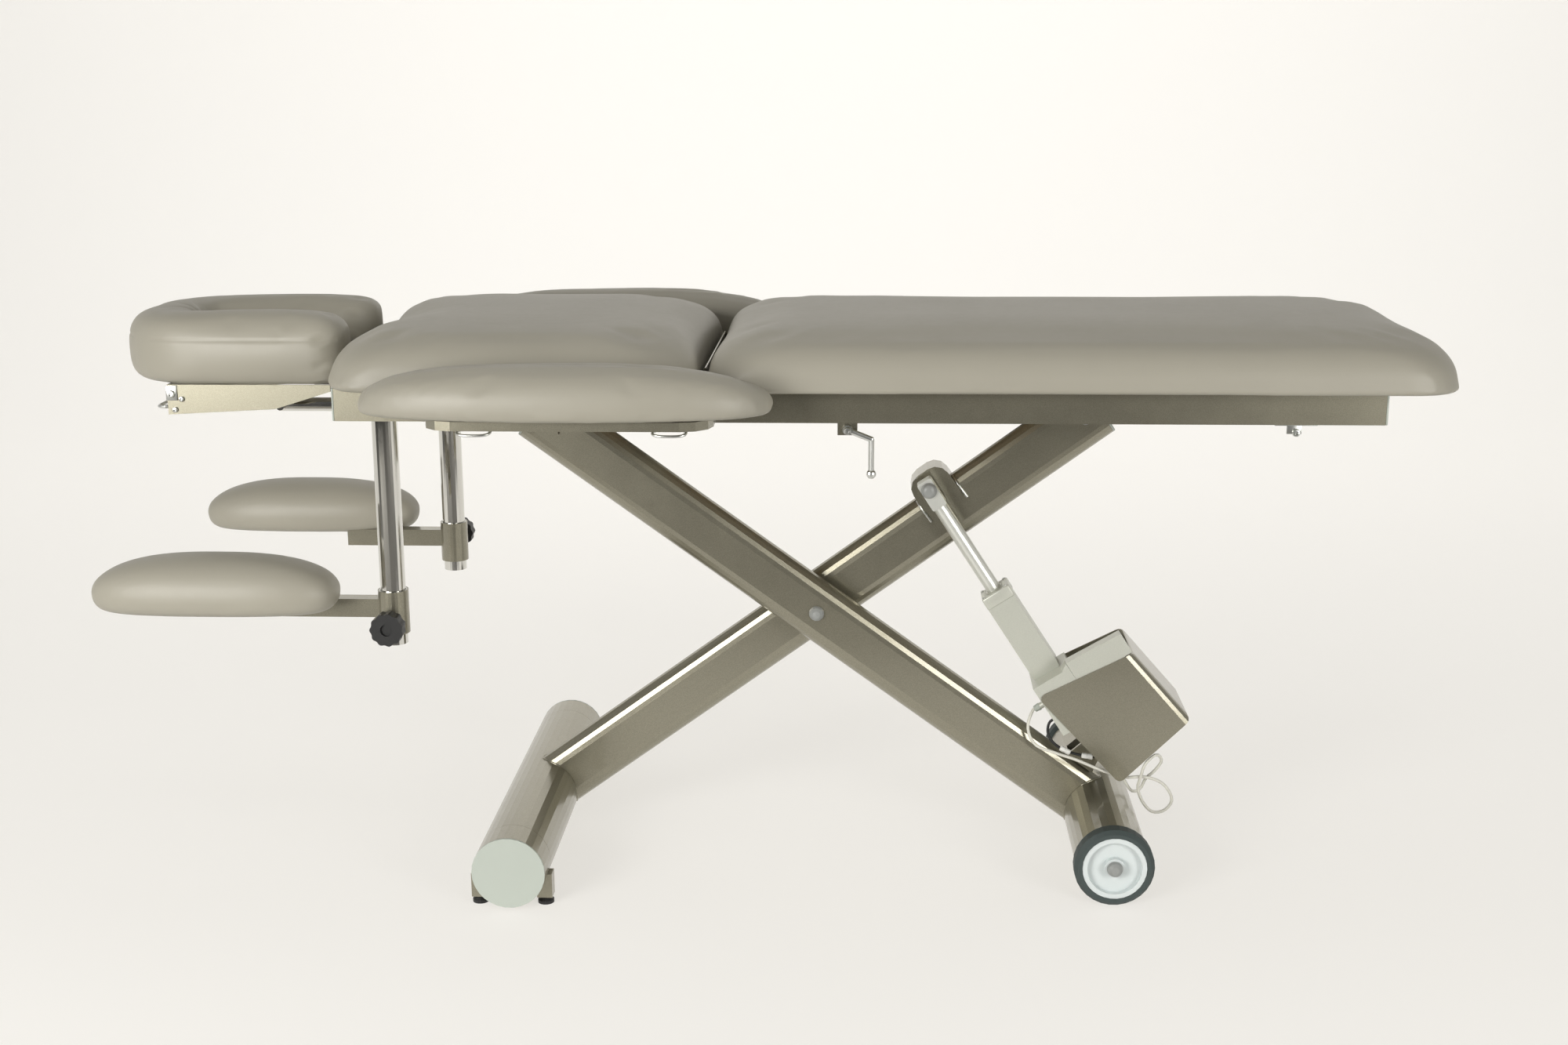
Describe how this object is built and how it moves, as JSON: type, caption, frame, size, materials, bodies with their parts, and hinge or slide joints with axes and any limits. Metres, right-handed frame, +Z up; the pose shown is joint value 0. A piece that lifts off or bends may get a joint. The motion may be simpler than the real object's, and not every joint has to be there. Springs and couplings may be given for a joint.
{
  "type": "massage table",
  "caption": "Padded massage table on an electric scissor lift, with an open-ended face cushion, lowered armrests, side wings and a lifting leg section.",
  "frame": {"origin": "on the floor, midway along the whole length and on the middle line of the width", "axes": "+X towards the foot end, +Y towards the far side, +Z up"},
  "size_m": [2.061, 0.89, 0.9029],
  "materials": {
    "paint": "grey-beige metallic paint, satin",
    "upholstery": "smooth vinyl, semi-matt",
    "chrome": "polished",
    "pale_cap": "pale grey-green",
    "black_plastic": "moulded black",
    "silver": "smooth silver",
    "gas": "black gloss",
    "tyre": "dark grey, matt",
    "hub": "white-grey moulding",
    "zinc": "zinc plated",
    "wood": "plain board",
    "cord": "off-white sheath"
  },
  "bodies": {
    "base": {"base_core_tube": "paint", "end_collar_near": "paint", "end_collar_far": "paint", "end_cap_near": "pale_cap", "end_cap_far": "pale_cap"},
    "foot_near_left": {"levelling_foot_near_left": "black_plastic"},
    "foot_near_right": {"levelling_foot_near_right": "black_plastic"},
    "foot_far_left": {"levelling_foot_far_left": "black_plastic"},
    "foot_far_right": {"levelling_foot_far_right": "black_plastic"},
    "lift_arm_body": {"foot_tube": "paint", "lift_arm": "paint", "pivot_bolt": "silver", "clevis_bracket": "paint"},
    "roller_body": {"track_roller": "zinc"},
    "wheel_arm_body": {"wheel_tube": "paint", "wheel_arm": "paint", "wheel_axle": "silver", "actuator_mount": "paint"},
    "wheel_near_body": {"wheel_hub_near": "hub", "wheel_tyre_near": "tyre"},
    "wheel_far_body": {"wheel_hub_far": "hub", "wheel_tyre_far": "tyre"},
    "actuator_body": {"actuator_housing": "silver", "motor_case": "silver", "motor_cover": "paint", "control_cord": "cord", "cord_plug": "pale_cap"},
    "actuator_rod_body": {"actuator_rod": "silver"},
    "top_frame_body": {"rail_near": "paint", "rail_far": "paint", "cross_head": "paint", "cross_pin": "paint", "cross_hinge": "paint", "roller_track": "paint", "post_near": "chrome", "post_far": "chrome", "torso_board": "wood", "torso_cushion": "upholstery"},
    "leg_section_body": {"leg_board": "wood", "leg_cushion": "upholstery", "spring_lug_leg": "paint"},
    "gas_cylinder_body": {"gas_cylinder": "gas"},
    "gas_rod_body": {"gas_rod": "chrome"},
    "release_lever_body": {"release_lever": "zinc"},
    "head_slide_body": {"head_tubes": "chrome"},
    "head_tilt_body": {"head_tray": "paint", "head_cushion": "upholstery"},
    "release_loop_body": {"release_loop": "zinc"},
    "armrest_bush_near_body": {"armrest_bush_near": "zinc"},
    "armrest_bush_far_body": {"armrest_bush_far": "zinc"},
    "armrest_near_body": {"armrest_collar_near": "paint", "armrest_pad_near": "upholstery"},
    "armrest_far_body": {"armrest_collar_far": "paint", "armrest_pad_far": "upholstery"},
    "knob_near_body": {"clamp_knob_near": "black_plastic"},
    "knob_far_body": {"clamp_knob_far": "black_plastic"},
    "wing_near_body": {"wing_tray_near": "paint", "wing_cushion_near": "upholstery"},
    "wing_far_body": {"wing_tray_far": "paint", "wing_cushion_far": "upholstery"}
  },
  "joints": [
    {"name": "lift", "type": "hinge", "parent": "base", "child": "lift_arm_body", "pos_m": [-0.39373, 0, 0.0625], "axis": [0, -1, 0], "range_deg": [-16.5, 1.5]},
    {"name": "scissor", "type": "hinge", "parent": "lift_arm_body", "child": "wheel_arm_body", "pos_m": [0.0755, 0, 0.40342], "axis": [0, -1, 0], "range_deg": [-3.2, 33.2]},
    {"name": "top_level", "type": "hinge", "parent": "wheel_arm_body", "child": "top_frame_body", "pos_m": [-0.35732, 0, 0.71788], "axis": [0, -1, 0], "range_deg": [-16.6, 1.6]},
    {"name": "track_roll", "type": "hinge", "parent": "lift_arm_body", "child": "roller_body", "pos_m": [0.50832, 0, 0.71788], "axis": [0, 1, 0], "continuous": true},
    {"name": "wheel_near_roll", "type": "hinge", "parent": "wheel_arm_body", "child": "wheel_near_body", "pos_m": [0.54473, 0, 0.0625], "axis": [0, 1, 0], "continuous": true},
    {"name": "wheel_far_roll", "type": "hinge", "parent": "wheel_arm_body", "child": "wheel_far_body", "pos_m": [0.54473, 0, 0.0625], "axis": [0, 1, 0], "continuous": true},
    {"name": "actuator_swing", "type": "hinge", "parent": "wheel_arm_body", "child": "actuator_body", "pos_m": [0.5342, 0, 0.18003], "axis": [0, -1, 0], "range_deg": [-0.2, 1.1]},
    {"name": "actuator_extend", "type": "slide", "parent": "actuator_body", "child": "actuator_rod_body", "axis": [-0.5446, 0, 0.8387], "range_m": [-0.1556, 0.0145]},
    {"name": "leg_tilt", "type": "hinge", "parent": "top_frame_body", "child": "leg_section_body", "pos_m": [-0.0885, 0, 0.82988], "axis": [0, -1, 0], "range_deg": [0, 22]},
    {"name": "gas_swing", "type": "hinge", "parent": "top_frame_body", "child": "gas_cylinder_body", "pos_m": [0.3775, 0.14, 0.74688], "axis": [0, -1, 0], "range_deg": [-17.2, 0.3]},
    {"name": "gas_extend", "type": "slide", "parent": "gas_cylinder_body", "child": "gas_rod_body", "axis": [-0.9842, 0, 0.1772], "range_m": [-0.001, 0.0295]},
    {"name": "lever_pull", "type": "hinge", "parent": "top_frame_body", "child": "release_lever_body", "pos_m": [0.1275, -0.225, 0.74388], "axis": [0, -1, 0], "range_deg": [0, 20], "stiffness_Nm_per_rad": 0.4, "springref_deg": -5.73},
    {"name": "headrest_slide", "type": "slide", "parent": "top_frame_body", "child": "head_slide_body", "axis": [-1, 0, 0], "range_m": [0, 0.08]},
    {"name": "headrest_tilt", "type": "hinge", "parent": "head_slide_body", "child": "head_tilt_body", "pos_m": [-0.7745, 0, 0.75688], "axis": [0, 1, 0], "range_deg": [-30, 4]},
    {"name": "loop_pull", "type": "hinge", "parent": "head_tilt_body", "child": "release_loop_body", "pos_m": [-0.9478, 0, 0.75188], "axis": [0, 1, 0], "range_deg": [0, 15], "stiffness_Nm_per_rad": 0.2, "springref_deg": -5.73},
    {"name": "armrest_height_near", "type": "slide", "parent": "top_frame_body", "child": "armrest_bush_near_body", "axis": [0, 0, 1], "range_m": [-0.012, 0.19]},
    {"name": "armrest_swivel_near", "type": "hinge", "parent": "armrest_bush_near_body", "child": "armrest_near_body", "pos_m": [-0.5771, -0.225, 0.4877], "axis": [0, 0, 1], "range_deg": [-10, 80]},
    {"name": "knob_turn_near", "type": "hinge", "parent": "armrest_near_body", "child": "knob_near_body", "pos_m": [-0.5771, -0.25, 0.437], "axis": [0, 1, 0], "continuous": true},
    {"name": "wing_height_near", "type": "slide", "parent": "top_frame_body", "child": "wing_near_body", "axis": [0, 0, 1], "range_m": [0, 0.018]},
    {"name": "foot_turn_near_left", "type": "hinge", "parent": "base", "child": "foot_near_left", "pos_m": [-0.44523, -0.295, 0], "axis": [0, 0, 1], "continuous": true},
    {"name": "foot_turn_near_right", "type": "hinge", "parent": "base", "child": "foot_near_right", "pos_m": [-0.34223, -0.295, 0], "axis": [0, 0, 1], "continuous": true},
    {"name": "armrest_height_far", "type": "slide", "parent": "top_frame_body", "child": "armrest_bush_far_body", "axis": [0, 0, 1], "range_m": [-0.012, 0.19]},
    {"name": "armrest_swivel_far", "type": "hinge", "parent": "armrest_bush_far_body", "child": "armrest_far_body", "pos_m": [-0.5771, 0.225, 0.4877], "axis": [0, 0, -1], "range_deg": [-10, 80]},
    {"name": "knob_turn_far", "type": "hinge", "parent": "armrest_far_body", "child": "knob_far_body", "pos_m": [-0.5771, 0.25, 0.4575], "axis": [0, 1, 0], "continuous": true},
    {"name": "wing_height_far", "type": "slide", "parent": "top_frame_body", "child": "wing_far_body", "axis": [0, 0, 1], "range_m": [-0.018, 0]},
    {"name": "foot_turn_far_left", "type": "hinge", "parent": "base", "child": "foot_far_left", "pos_m": [-0.44523, 0.295, 0], "axis": [0, 0, 1], "continuous": true},
    {"name": "foot_turn_far_right", "type": "hinge", "parent": "base", "child": "foot_far_right", "pos_m": [-0.34223, 0.295, 0], "axis": [0, 0, 1], "continuous": true}
  ],
  "couplings": [
    {"joint": "scissor", "follows": "lift", "ratio": -2},
    {"joint": "top_level", "follows": "lift", "ratio": 1},
    {"joint": "actuator_swing", "follows": "lift", "ratio": -0.057},
    {"joint": "actuator_extend", "follows": "lift", "m_per_rad": 0.5376},
    {"joint": "gas_swing", "follows": "leg_tilt", "ratio": -0.7679},
    {"joint": "gas_extend", "follows": "leg_tilt", "m_per_rad": 0.07419}
  ]
}
